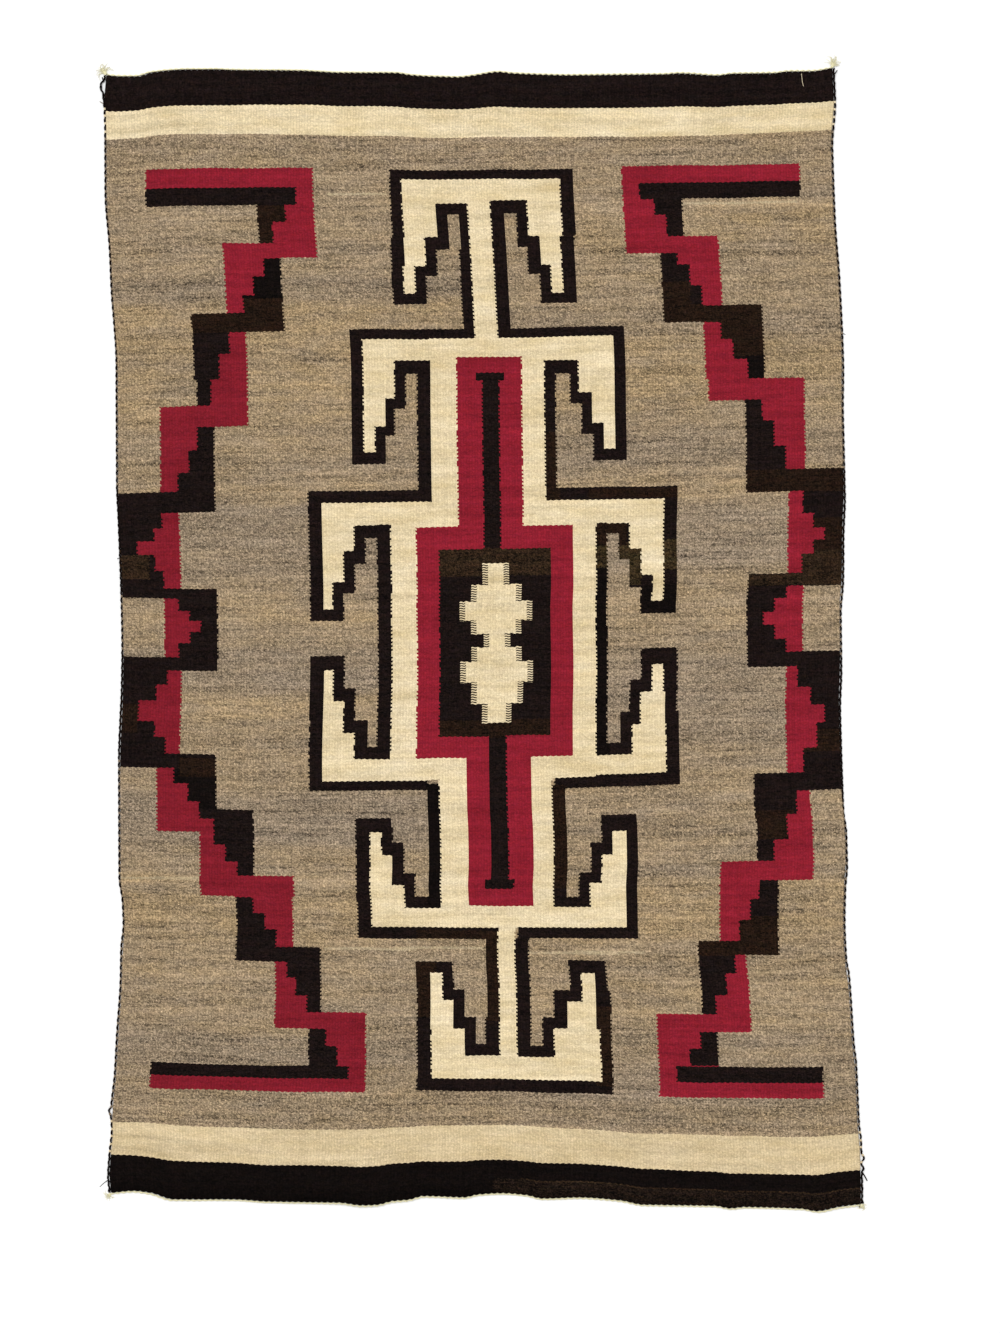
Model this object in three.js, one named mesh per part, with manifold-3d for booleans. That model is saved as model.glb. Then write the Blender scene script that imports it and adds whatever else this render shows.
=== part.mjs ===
import * as THREE from "three";
import { mergeVertices } from "three/addons/utils/BufferGeometryUtils.js";
import Module from "manifold-3d";

// Millimetres, +Z up out of the cloth, +Y towards the edge woven last.
const CLOTH_THICKNESS = 3;
const CORD_GAP = 0.4;
const SIDE_CORD_RADIUS = 1.2;
const END_CORD_RADIUS = 1.1;
const CORD_SIDES = 6;
const SIDE_STEPS = 72;
const END_STEPS = 96;

// Where the outer line of the side cords and the ends of the weave meet.
const CORNERS = {
  lowLeft: { x: -475, y: -704 },
  lowRight: { x: 482, y: -718 },
  highLeft: { x: -481, y: 714 },
  highRight: { x: 446, y: 723 },
};

// How far each edge stands out from the straight line between its two corners.
const LEFT_BOW = [
  { at: 0, out: 0 },
  { at: 20, out: 2 },
  { at: 50, out: 0 },
  { at: 80, out: -3 },
  { at: 100, out: -2 },
  { at: 150, out: -7 },
  { at: 200, out: -10 },
  { at: 270, out: -15 },
  { at: 310, out: -16 },
  { at: 340, out: -19 },
  { at: 370, out: -18 },
  { at: 400, out: -14 },
  { at: 550, out: -14 },
  { at: 600, out: -16 },
  { at: 640, out: -18 },
  { at: 700, out: -19 },
  { at: 760, out: -18 },
  { at: 850, out: -15 },
  { at: 900, out: -13 },
  { at: 1050, out: -13 },
  { at: 1150, out: -7 },
  { at: 1200, out: -5 },
  { at: 1270, out: 0 },
  { at: 1350, out: 0 },
  { at: 1380, out: 1 },
  { at: 1400, out: 3 },
  { at: 1418, out: 0 },
];
const RIGHT_BOW = [
  { at: 0, out: 0 },
  { at: 20, out: 1 },
  { at: 80, out: 1 },
  { at: 100, out: -1 },
  { at: 180, out: -3 },
  { at: 200, out: -5 },
  { at: 290, out: -9 },
  { at: 310, out: -12 },
  { at: 350, out: -13 },
  { at: 400, out: -11 },
  { at: 430, out: -8 },
  { at: 470, out: -8 },
  { at: 500, out: -11 },
  { at: 620, out: -12 },
  { at: 680, out: -9 },
  { at: 750, out: -8 },
  { at: 790, out: -4 },
  { at: 850, out: -2 },
  { at: 900, out: 1 },
  { at: 1000, out: 1 },
  { at: 1070, out: 3 },
  { at: 1170, out: 1 },
  { at: 1250, out: -3 },
  { at: 1340, out: -4 },
  { at: 1400, out: 1 },
  { at: 1441, out: 0 },
];
const LOW_BOW = [
  { at: 0, out: 0 },
  { at: 30, out: -3 },
  { at: 50, out: -1 },
  { at: 80, out: 7 },
  { at: 160, out: 6 },
  { at: 200, out: 8 },
  { at: 290, out: 8 },
  { at: 320, out: 11 },
  { at: 340, out: 10 },
  { at: 360, out: 5 },
  { at: 380, out: 3 },
  { at: 400, out: -2 },
  { at: 450, out: -1 },
  { at: 470, out: -5 },
  { at: 500, out: -7 },
  { at: 530, out: -5 },
  { at: 550, out: -1 },
  { at: 600, out: -3 },
  { at: 650, out: 0 },
  { at: 680, out: 5 },
  { at: 770, out: 5 },
  { at: 790, out: 8 },
  { at: 810, out: 6 },
  { at: 880, out: 7 },
  { at: 900, out: 10 },
  { at: 930, out: 4 },
  { at: 957, out: 0 },
];
const HIGH_BOW = [
  { at: 0, out: 0 },
  { at: 20, out: -2 },
  { at: 40, out: -2 },
  { at: 60, out: 3 },
  { at: 100, out: 6 },
  { at: 140, out: 6 },
  { at: 160, out: 5 },
  { at: 250, out: 3 },
  { at: 300, out: 0 },
  { at: 370, out: -1 },
  { at: 390, out: -4 },
  { at: 450, out: -7 },
  { at: 470, out: -5 },
  { at: 500, out: -1 },
  { at: 520, out: -3 },
  { at: 600, out: -6 },
  { at: 710, out: -6 },
  { at: 730, out: -5 },
  { at: 780, out: -8 },
  { at: 800, out: -6 },
  { at: 850, out: -6 },
  { at: 870, out: -4 },
  { at: 900, out: -4 },
  { at: 927, out: 0 },
];

// The corner tufts: where each knot sits from its corner, which way it fans and how long it is.
const TASSELS = {
  tassel_top_left: { dx: 1.5, dy: 2.75, knot: 2.4, towards: 124, spread: 62, shortest: 7, longest: 13, strands: 13 },
  tassel_top_right: { dx: -1.5, dy: 2.55, knot: 2.2, towards: 74, spread: 66, shortest: 7, longest: 13, strands: 13 },
  tassel_bottom_left: { dx: 1.5, dy: -2.15, knot: 1.8, towards: 236, spread: 60, shortest: 4, longest: 9, strands: 10 },
  tassel_bottom_right: { dx: -1.5, dy: -2.25, knot: 1.9, towards: 300, spread: 90, shortest: 3, longest: 7, strands: 10 },
};
const STRAND_ROOT = 0.36;
const STRAND_TIP = 0.24;

// Yarn ends that stand out of a side cord: how far up the cord, where to, and how thick.
const YARN_ENDS = {
  side_cord_left: [{ at: 16, dx: -13, dy: -9, radius: 0.5 }],
  side_cord_right: [{ at: 44, dx: 7.4, dy: -12, radius: 1.1 }],
};

const wasm = await Module();
wasm.setup();

// A smooth line through a table, with no overshoot between two rows.
function bow(table, at) {
  let i = 0;
  while (i < table.length - 2 && at > table[i + 1].at) i++;
  const slope = (k) => {
    const a = table[Math.max(k - 1, 0)],
      b = table[k],
      c = table[Math.min(k + 1, table.length - 1)];
    const before = (b.out - a.out) / Math.max(b.at - a.at, 1e-9),
      after = (c.out - b.out) / Math.max(c.at - b.at, 1e-9);
    if (k === 0) return after;
    if (k === table.length - 1) return before;
    return before * after <= 0 ? 0 : (2 * before * after) / (before + after);
  };
  const p = table[i],
    q = table[i + 1],
    span = q.at - p.at,
    t = (at - p.at) / span;
  return (
    (2 * t ** 3 - 3 * t ** 2 + 1) * p.out +
    (t ** 3 - 2 * t ** 2 + t) * span * slope(i) +
    (-2 * t ** 3 + 3 * t ** 2) * q.out +
    (t ** 3 - t ** 2) * span * slope(i + 1)
  );
}

// Points along one edge, from corner a to corner b, moved out by the table and in by inset.
function edge(a, b, table, outward, inset, steps) {
  const from = new THREE.Vector2(a.x, a.y),
    to = new THREE.Vector2(b.x, b.y);
  const length = from.distanceTo(to),
    reach = table[table.length - 1].at;
  return Array.from({ length: steps + 1 }, (_, i) => {
    const t = i / steps;
    return from
      .clone()
      .lerp(to, t)
      .addScaledVector(outward, bow(table, t * reach) - inset);
  });
}

const LEFT = new THREE.Vector2(-1, 0),
  RIGHT = new THREE.Vector2(1, 0),
  UP = new THREE.Vector2(0, 1),
  DOWN = new THREE.Vector2(0, -1);
const sideInset = 2 * SIDE_CORD_RADIUS + CORD_GAP;

const leftSide = (inset, steps = SIDE_STEPS) =>
  edge(CORNERS.lowLeft, CORNERS.highLeft, LEFT_BOW, LEFT, inset, steps);
const rightSide = (inset, steps = SIDE_STEPS) =>
  edge(CORNERS.lowRight, CORNERS.highRight, RIGHT_BOW, RIGHT, inset, steps);
const lowEnd = (inset, steps = END_STEPS) =>
  edge(CORNERS.lowLeft, CORNERS.lowRight, LOW_BOW, DOWN, inset, steps);
const highEnd = (inset, steps = END_STEPS) =>
  edge(CORNERS.highLeft, CORNERS.highRight, HIGH_BOW, UP, inset, steps);

const onLine = (p, q, x) => p.clone().lerp(q, (x - p.x) / (q.x - p.x));

// The cloth: one flat slab inside the four cords, its edges as uneven as they were woven.
function tapestry() {
  const left = leftSide(sideInset),
    right = rightSide(sideInset);
  const last = SIDE_STEPS;
  // An end row runs from corner to corner; a coarser row behind it takes up its many points.
  const endRow = (points, from, to) => [
    onLine(points[0], points[1], from.x),
    ...points.filter((p) => p.x > from.x + 5 && p.x < to.x - 5),
    onLine(points[points.length - 2], points[points.length - 1], to.x),
  ];
  const plainRow = (i, parts) =>
    Array.from({ length: parts + 1 }, (_, k) => left[i].clone().lerp(right[i], k / parts));
  const rows = left.map((_, i) => {
    if (i === 0) return endRow(lowEnd(0), left[0], right[0]);
    if (i === last) return endRow(highEnd(0), left[last], right[last]);
    const depth = Math.min(i, last - i);
    return plainRow(i, depth === 1 ? 24 : depth === 2 ? 6 : 1);
  });
  const position = [],
    index = [];
  const start = [];
  rows.forEach((row) => {
    start.push(position.length / 3);
    row.forEach((p) => position.push(p.x, p.y, 0, p.x, p.y, CLOTH_THICKNESS));
  });
  const under = (i, k) => start[i] + 2 * k,
    over = (i, k) => start[i] + 2 * k + 1;
  const wall = (i0, k0, i1, k1) =>
    index.push(
      ...[under(i0, k0), under(i1, k1), over(i1, k1)],
      ...[under(i0, k0), over(i1, k1), over(i0, k0)],
    );
  for (let i = 0; i < last; i++) {
    const low = rows[i],
      high = rows[i + 1];
    let a = 0,
      b = 0;
    while (a < low.length - 1 || b < high.length - 1) {
      const stepLow = b === high.length - 1 || (a < low.length - 1 && low[a + 1].x < high[b + 1].x);
      const [ni, nk] = stepLow ? [i, a + 1] : [i + 1, b + 1];
      index.push(over(i, a), over(ni, nk), over(i + 1, b));
      index.push(under(i, a), under(i + 1, b), under(ni, nk));
      if (stepLow) a++;
      else b++;
    }
    wall(i + 1, 0, i, 0);
    wall(i, low.length - 1, i + 1, high.length - 1);
  }
  for (let k = 0; k < rows[0].length - 1; k++) wall(0, k, 0, k + 1);
  for (let k = 0; k < rows[last].length - 1; k++) wall(last, k + 1, last, k);
  const geometry = new THREE.BufferGeometry();
  geometry.setAttribute("position", new THREE.Float32BufferAttribute(position, 3));
  geometry.setIndex(index);
  return geometry;
}

// A closed tube through level points, its radius changing evenly from one end to the other.
function tube(points, startRadius, endRadius, sides) {
  const position = [],
    index = [];
  points.forEach((p, i) => {
    const ahead = points[Math.min(i + 1, points.length - 1)]
      .clone()
      .sub(points[Math.max(i - 1, 0)])
      .normalize();
    const across = new THREE.Vector3(ahead.y, -ahead.x, 0).normalize();
    const over = new THREE.Vector3().crossVectors(across, ahead);
    const radius = THREE.MathUtils.lerp(startRadius, endRadius, i / (points.length - 1));
    for (let k = 0; k < sides; k++) {
      const a = (2 * Math.PI * (k + 0.5)) / sides;
      const v = p
        .clone()
        .addScaledVector(across, radius * Math.cos(a))
        .addScaledVector(over, radius * Math.sin(a));
      position.push(v.x, v.y, v.z);
    }
  });
  const ring = (i, k) => i * sides + (k % sides);
  for (let i = 0; i < points.length - 1; i++)
    for (let k = 0; k < sides; k++)
      index.push(
        ...[ring(i, k), ring(i + 1, k), ring(i + 1, k + 1)],
        ...[ring(i, k), ring(i + 1, k + 1), ring(i, k + 1)],
      );
  for (let k = 1; k < sides - 1; k++)
    index.push(
      ...[ring(0, 0), ring(0, k), ring(0, k + 1)],
      ...[ring(points.length - 1, 0), ring(points.length - 1, k + 1), ring(points.length - 1, k)],
    );
  const geometry = new THREE.BufferGeometry();
  geometry.setAttribute("position", new THREE.Float32BufferAttribute(position, 3));
  geometry.setIndex(index);
  return geometry;
}

function solid(geometry) {
  const bare = geometry.clone();
  bare.deleteAttribute("normal");
  bare.deleteAttribute("uv");
  const merged = mergeVertices(bare, 1e-4);
  const made = new wasm.Manifold(
    new wasm.Mesh({
      numProp: 3,
      vertProperties: new Float32Array(merged.attributes.position.array),
      triVerts: new Uint32Array(merged.index.array),
    }),
  );
  if (made.volume() >= 0) return made;
  const flipped = new Uint32Array(merged.index.array).reverse();
  return new wasm.Manifold(
    new wasm.Mesh({
      numProp: 3,
      vertProperties: new Float32Array(merged.attributes.position.array),
      triVerts: flipped,
    }),
  );
}

function fused(geometries) {
  const mesh = wasm.Manifold.union(geometries.map(solid)).getMesh();
  const position = new Float32Array(mesh.numVert * 3);
  for (let i = 0; i < mesh.numVert; i++)
    position.set(mesh.vertProperties.subarray(i * mesh.numProp, i * mesh.numProp + 3), i * 3);
  const geometry = new THREE.BufferGeometry();
  geometry.setAttribute("position", new THREE.BufferAttribute(position, 3));
  geometry.setIndex(new THREE.BufferAttribute(mesh.triVerts, 1));
  return geometry;
}

// A cord lies level beside the cloth; a yarn end that stands out of it is fused on.
function cord(path, radius, ends = []) {
  const level = path.map((p) => new THREE.Vector3(p.x, p.y, radius));
  const pieces = [tube(level, radius, radius, CORD_SIDES)];
  const reach = level[0].distanceTo(level[level.length - 1]);
  for (const end of ends) {
    const root = level[Math.round((end.at / reach) * (level.length - 1))];
    const bend = new THREE.Vector3(root.x + 0.45 * end.dx, root.y + 0.35 * end.dy, end.radius);
    const tip = new THREE.Vector3(root.x + end.dx, root.y + end.dy, end.radius);
    const curve = new THREE.QuadraticBezierCurve3(
      new THREE.Vector3(root.x, root.y, radius),
      bend,
      tip,
    );
    pieces.push(tube(curve.getPoints(5), end.radius, 0.7 * end.radius, CORD_SIDES));
  }
  return pieces.length > 1 ? fused(pieces) : pieces[0];
}

// Seeded, so that each build gives the same strands.
function dice(seed) {
  let s = seed;
  return () => {
    s = (s * 16807) % 2147483647;
    return s / 2147483647;
  };
}

// A corner tuft: a knot of cord with the unspun ends of the cords fanned out from it on the floor.
function tassel(corner, t, seed) {
  const random = dice(seed);
  const knotHeight = 0.55 * t.knot;
  const knot = new THREE.SphereGeometry(t.knot, 12, 8);
  knot.scale(1, 1, 0.55);
  const centre = new THREE.Vector3(corner.x + t.dx, corner.y + t.dy, knotHeight);
  knot.translate(centre.x, centre.y, centre.z);
  const pieces = [knot];
  for (let i = 0; i < t.strands; i++) {
    const share = (i + 0.5) / t.strands - 0.5;
    const angle = THREE.MathUtils.degToRad(t.towards + share * t.spread * 2);
    const length = THREE.MathUtils.lerp(t.shortest, t.longest, random()) * (1 - 0.8 * share * share);
    const curl = 0.35 * (random() - 0.5);
    const along = (r, z) =>
      new THREE.Vector3(
        centre.x + r * Math.cos(angle + (curl * r) / t.longest),
        centre.y + r * Math.sin(angle + (curl * r) / t.longest),
        z,
      );
    const points = [
      along(0.5 * t.knot, knotHeight * (0.75 + 0.2 * (i % 2))),
      along(t.knot + 0.6, STRAND_ROOT),
      along(t.knot + 0.5 * length, STRAND_ROOT),
      along(t.knot + length, STRAND_ROOT),
    ];
    pieces.push(tube(points, STRAND_ROOT, STRAND_TIP, 4));
  }
  return fused(pieces);
}

const COLOURS = {
  tapestry: 0x96846c,
  side_cord_left: 0x1c1412,
  side_cord_right: 0x1c1412,
  end_cord_top: 0xe9dfae,
  end_cord_bottom: 0xe9dfae,
  tassel_top_left: 0xe9dfae,
  tassel_top_right: 0xe9dfae,
  tassel_bottom_left: 0xe9dfae,
  tassel_bottom_right: 0xe9dfae,
};

// An end cord stops short of the knot at each of its corners.
const endCordOut = -(END_CORD_RADIUS + CORD_GAP);
function endCord(points, leftTassel, rightTassel) {
  const clear = (t) => Math.abs(t.dx) + t.knot + CORD_GAP;
  const from = points[0].x + clear(leftTassel),
    to = points[points.length - 1].x - clear(rightTassel);
  const first = onLine(points[0], points[1], from);
  const last = onLine(points[points.length - 2], points[points.length - 1], to);
  return cord([first, ...points.slice(1, -1), last], END_CORD_RADIUS);
}

const geometries = {
  tapestry: tapestry(),
  side_cord_left: cord(leftSide(SIDE_CORD_RADIUS), SIDE_CORD_RADIUS, YARN_ENDS.side_cord_left),
  side_cord_right: cord(rightSide(SIDE_CORD_RADIUS), SIDE_CORD_RADIUS, YARN_ENDS.side_cord_right),
  end_cord_top: endCord(highEnd(endCordOut), TASSELS.tassel_top_left, TASSELS.tassel_top_right),
  end_cord_bottom: endCord(lowEnd(endCordOut), TASSELS.tassel_bottom_left, TASSELS.tassel_bottom_right),
  tassel_top_left: tassel(CORNERS.highLeft, TASSELS.tassel_top_left, 11),
  tassel_top_right: tassel(CORNERS.highRight, TASSELS.tassel_top_right, 23),
  tassel_bottom_left: tassel(CORNERS.lowLeft, TASSELS.tassel_bottom_left, 37),
  tassel_bottom_right: tassel(CORNERS.lowRight, TASSELS.tassel_bottom_right, 53),
};

const rug = new THREE.Group();
for (const [name, geometry] of Object.entries(geometries)) {
  const mesh = new THREE.Mesh(
    geometry,
    new THREE.MeshStandardMaterial({ color: COLOURS[name], roughness: 0.95 }),
  );
  mesh.name = name;
  rug.add(mesh);
}

// The origin is under the middle of the whole rug, on the floor.
const box = new THREE.Box3().setFromObject(rug);
const middle = box.getCenter(new THREE.Vector3());
rug.position.set(-middle.x, -middle.y, -box.min.z);

export default rug;
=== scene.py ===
import functools
import math
import random

import bmesh
import bpy
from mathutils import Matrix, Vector, noise


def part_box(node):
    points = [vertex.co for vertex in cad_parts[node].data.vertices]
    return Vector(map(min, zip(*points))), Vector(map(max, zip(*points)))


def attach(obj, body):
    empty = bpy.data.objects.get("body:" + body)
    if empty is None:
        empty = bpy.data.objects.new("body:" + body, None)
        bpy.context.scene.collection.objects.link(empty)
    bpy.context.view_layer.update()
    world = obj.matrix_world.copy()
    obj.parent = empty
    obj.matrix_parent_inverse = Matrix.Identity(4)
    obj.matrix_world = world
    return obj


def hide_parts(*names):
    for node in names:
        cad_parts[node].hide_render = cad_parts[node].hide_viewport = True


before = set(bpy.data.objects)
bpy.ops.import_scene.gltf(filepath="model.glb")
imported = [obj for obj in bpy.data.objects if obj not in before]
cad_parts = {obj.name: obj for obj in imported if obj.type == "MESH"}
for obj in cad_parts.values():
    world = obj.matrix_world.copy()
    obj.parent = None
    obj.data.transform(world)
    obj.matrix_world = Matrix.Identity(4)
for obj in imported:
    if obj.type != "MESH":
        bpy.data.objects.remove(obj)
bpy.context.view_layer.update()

# Tables and helpers: every table below is text with named columns, one thing a line.
# Lengths are in millimetres unless a name says otherwise.
MM = 0.001


def read_table(text):
    """The rows of a text table, each a dictionary keyed by the header's names."""
    lines = [line.split() for line in text.strip().splitlines()]
    return [
        {name: cell if cell[0].isalpha() else float(cell) for name, cell in zip(lines[0], line)}
        for line in lines[1:]
    ]


def smooth_line(points, at):
    """The height at one place of a smooth line through (place, height) points, with no overshoot."""
    last = len(points) - 1
    i = 0
    while i < last - 1 and at > points[i + 1][0]:
        i += 1

    def slope(k):
        before = after = None
        if k > 0:
            before = (points[k][1] - points[k - 1][1]) / (points[k][0] - points[k - 1][0])
        if k < last:
            after = (points[k + 1][1] - points[k][1]) / (points[k + 1][0] - points[k][0])
        if before is None or after is None:
            return after if before is None else before
        return 2 * before * after / (before + after) if before * after > 0 else 0.0

    (x0, y0), (x1, y1) = points[i], points[i + 1]
    span = x1 - x0
    t = (at - x0) / span
    return (
        (2 * t**3 - 3 * t**2 + 1) * y0
        + (t**3 - 2 * t**2 + t) * span * slope(i)
        + (3 * t**2 - 2 * t**3) * y1
        + (t**3 - t**2) * span * slope(i + 1)
    )


def lerp(a, b, share):
    return a + (b - a) * share


def add_object(name, data):
    thing = bpy.data.objects.new(name, data)
    bpy.context.collection.objects.link(thing)
    return thing


def add_mesh(name, shape, material):
    """A new object from a mesh under construction, in one material."""
    mesh = bpy.data.meshes.new(name)
    shape.to_mesh(mesh)
    shape.free()
    mesh.materials.append(material)
    return add_object(name, mesh)


# Outline: the same corners and bowed edges as the CAD solids, so that each piece lies where its node does.
# The cloth is woven inside two side cords and two end cords, and its edges wander as they were drawn in.
CORNERS = {
    row["corner"]: Vector((row["x"], row["y"]))
    for row in read_table("""
        corner      x       y
        low_left   -475    -704
        low_right   482    -718
        high_left  -481     714
        high_right  446     723
        """)
}


def read_bow(text):
    return [(row["at"], row["out"]) for row in read_table(text)]


LEFT_BOW = read_bow("""
    at    out
    0     0
    20    2
    50    0
    80    -3
    100   -2
    150   -7
    200   -10
    270   -15
    310   -16
    340   -19
    370   -18
    400   -14
    550   -14
    600   -16
    640   -18
    700   -19
    760   -18
    850   -15
    900   -13
    1050  -13
    1150  -7
    1200  -5
    1270  0
    1350  0
    1380  1
    1400  3
    1418  0
    """)
RIGHT_BOW = read_bow("""
    at    out
    0     0
    20    1
    80    1
    100   -1
    180   -3
    200   -5
    290   -9
    310   -12
    350   -13
    400   -11
    430   -8
    470   -8
    500   -11
    620   -12
    680   -9
    750   -8
    790   -4
    850   -2
    900   1
    1000  1
    1070  3
    1170  1
    1250  -3
    1340  -4
    1400  1
    1441  0
    """)
LOW_BOW = read_bow("""
    at    out
    0     0
    30    -3
    50    -1
    80    7
    160   6
    200   8
    290   8
    320   11
    340   10
    360   5
    380   3
    400   -2
    450   -1
    470   -5
    500   -7
    530   -5
    550   -1
    600   -3
    650   0
    680   5
    770   5
    790   8
    810   6
    880   7
    900   10
    930   4
    957   0
    """)
HIGH_BOW = read_bow("""
    at    out
    0     0
    20    -2
    40    -2
    60    3
    100   6
    140   6
    160   5
    250   3
    300   0
    370   -1
    390   -4
    450   -7
    470   -5
    500   -1
    520   -3
    600   -6
    710   -6
    730   -5
    780   -8
    800   -6
    850   -6
    870   -4
    900   -4
    927   0
    """)

CLOTH_THICKNESS = 3.0
CORD_GAP = 0.4
SIDE_CORD_RADIUS = 1.2
END_CORD_RADIUS = 1.1
SIDE_INSET = 2 * SIDE_CORD_RADIUS + CORD_GAP
SWELL_LENGTH = 310
RIPPLE_LENGTH = 120
RIPPLE_SHARE = 0.45
SWELL_HEIGHT = 1.5


def bow(table, share):
    return smooth_line(table, share * table[-1][0])


@functools.lru_cache(maxsize=None)
def side_at(side, share, inset):
    """A point of the left or right edge, share of the way up, moved in from the outer line by inset."""
    edge, outward = (LEFT_BOW, -1) if side == "left" else (RIGHT_BOW, 1)
    point = CORNERS[f"low_{side}"].lerp(CORNERS[f"high_{side}"], share)
    return point + Vector((outward * (bow(edge, share) - inset), 0))


def end_at(end, share, inset):
    """A point of the low or high edge, share of the way across."""
    edge, outward = (LOW_BOW, -1) if end == "low" else (HIGH_BOW, 1)
    point = CORNERS[f"{end}_left"].lerp(CORNERS[f"{end}_right"], share)
    return point + Vector((0, outward * (bow(edge, share) - inset)))


# The CAD file's origin is under the middle of its box, so the shift comes from the cloth's own corner.
SIDE_STEPS = 72
END_STEPS = 96
lowest_x = min(side_at("left", i / SIDE_STEPS, SIDE_INSET).x for i in range(SIDE_STEPS + 1))
lowest_y = min(end_at("low", i / END_STEPS, 0).y for i in range(END_STEPS + 1))
cloth_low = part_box("tapestry")[0]
SHIFT = Vector((cloth_low[0] / MM - lowest_x, cloth_low[1] / MM - lowest_y))


def rise(x, y):
    """How far the cloth stands off the floor, in long soft swells that are pressed down in between."""
    place = Vector((x, y, 0))
    ripple = noise.noise(place / RIPPLE_LENGTH + Vector((7, 3, 0)))
    return SWELL_HEIGHT * max(0.0, noise.noise(place / SWELL_LENGTH) + RIPPLE_SHARE * ripple)


def to_world(point, height):
    """Metres in the row frame, from an outline point and a height above the cloth's own underside."""
    return Vector((point[0] + SHIFT.x, point[1] + SHIFT.y, height + rise(point[0], point[1]))) * MM


# Camera: straight above, through a long lens, so the cloth shows no perspective.
PHOTO_LONG_SIDE = 1692.9
PHOTO_CENTRE = Vector((21.6, -36.2))
LENS = 100
SENSOR = 36

camera_data = bpy.data.cameras.new("camera")
camera_data.lens = LENS
camera_data.sensor_width = SENSOR
camera_data.clip_end = 50
camera = add_object("camera", camera_data)
camera_height = PHOTO_LONG_SIDE / SENSOR * LENS
camera.location = Vector((PHOTO_CENTRE.x + SHIFT.x, PHOTO_CENTRE.y + SHIFT.y, camera_height)) * MM
bpy.context.scene.camera = camera


# Weave: 256 upright warps, 7 to the inch, and 1432 mm of packed wefts over them.
# The wefts drift up and down across the width, as they were beaten down unevenly, and the warps lean.
WARPS = 256
WARP_PITCH = 3.645
WOVEN_LENGTH = 1432.0
PICK = 1.2
WANDER = 1.1
WANDER_WARPS = 15
WANDER_ROWS = 40
STATIONS = (0, 0.1, 0.25, 0.5, 0.75, 0.9, 1)
WEFT_DRIFT = read_table("""
    row    left  tenth quarter middle three_quarters nine_tenths right
    0       0    -7.6  -8.6     2     -4   -6.2    0
    50     -0.6  -7.6  -10.7   -2.2   -9.7 -13.4  -6.6
    93      0.3  -3.7  -6.2     2.5   -6   -7.1   -1.7
    138     0    -2.5  -4      -1     -4.5 -5      0
    325     0    -1    -2      -2     -2   -1      0
    541    -5    -6    -8      -5      3    9     13
    738    -4.5  -6    -5.8    -2      3    6      8
    897   -10    -6.6  -4.3    -1      3.4  7.6   10
    1119   -5.5  -3.2  -1.1    -0.5    2.6  3.5    4.5
    1200   -5    -2.2  -1.4    -1      1.8  3.5    4.5
    1312   -3.2   1.6   1      -1.7    0.2  1      2.5
    1353   -3.5   3.3   1.3    -4     -4.5 -2      2
    1391   -5     1.4   0.8    -5.6   -5.8 -4.4    0
    1432    0     6.2   2.5    -5     -5   -5.5    0
    """)
WARP_LEAN = read_table("""
    row    left  tenth quarter middle three_quarters nine_tenths right
    0      0     0     0       0      0      0       0
    100    0     0     0       0      0      0       0
    170    0     0.6   2.4     1      1.5    1       0
    300    0     0.3   1.4     0.6    1.4    0.4     0
    430    0     1     1.4     1.4    0.8    0.2     0
    560    0     0.9   1       2.2    1.4    0.8     0
    720    0     0     0.6     0.9    0.4    0.2     0
    860    0     1.6   0.3     0.5   -0.8   -0.4     0
    970    0     1     0.6     0.5    1.2    0.8     0
    1110   0     0.6  -0.5     0     -0.3   -0.6     0
    1250   0    -0.6  -0.3     1      0.6   -0.6     0
    1340   0     0     0       0      0      0       0
    1432   0     0     0       0      0      0       0
    """)
END_EASE = 60.0
FIRST_ROWS_UP = 3.7


@functools.lru_cache(maxsize=None)
def stations_of(name, row):
    """The places across the width, each with the lift or the lean that its table gives there at a row."""
    table = {"lift": WEFT_DRIFT, "lean": WARP_LEAN}[name]
    names = list(table[0])[1:]
    values = [smooth_line([(line["row"], line[name]) for line in table], row) for name in names]
    return list(zip(STATIONS, values))


def drift(share, row):
    return smooth_line(stations_of("lift", row), share)


def lean(share, row):
    return smooth_line(stations_of("lean", row), share)


@functools.lru_cache(maxsize=None)
def end_pull(share):
    """How far the first and the last weft are pulled off their drift by the cloth's own end lines."""
    low = FIRST_ROWS_UP - bow(LOW_BOW, share) - drift(share, 0.0)
    high = bow(HIGH_BOW, share) - drift(share, WOVEN_LENGTH)
    return low, high


def wander(warp, row):
    """A small hand-made waver of each weft, which dies away at the two ends."""
    free = min(1.0, row / END_EASE, (WOVEN_LENGTH - row) / END_EASE)
    return WANDER * free * noise.noise(Vector((warp / WANDER_WARPS, row / WANDER_ROWS, 2)))


def weave_at(warp, row):
    """The outline point at a warp, counted from the left, and a height of woven rows."""
    share = warp / WARPS
    up = row / WOVEN_LENGTH
    left = side_at("left", up, SIDE_INSET)
    right = side_at("right", up, SIDE_INSET)
    low, high = end_pull(share)
    left_y = lerp(CORNERS["low_left"].y - FIRST_ROWS_UP, CORNERS["high_left"].y, up)
    right_y = lerp(CORNERS["low_right"].y - FIRST_ROWS_UP, CORNERS["high_right"].y, up)
    y = lerp(left_y, right_y, share) + drift(share, row) + wander(warp, row)
    y += low * math.exp(-row / END_EASE) + high * math.exp(-(WOVEN_LENGTH - row) / END_EASE)
    return Vector((lerp(left.x, right.x, share) + lean(share, row), y))


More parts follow.
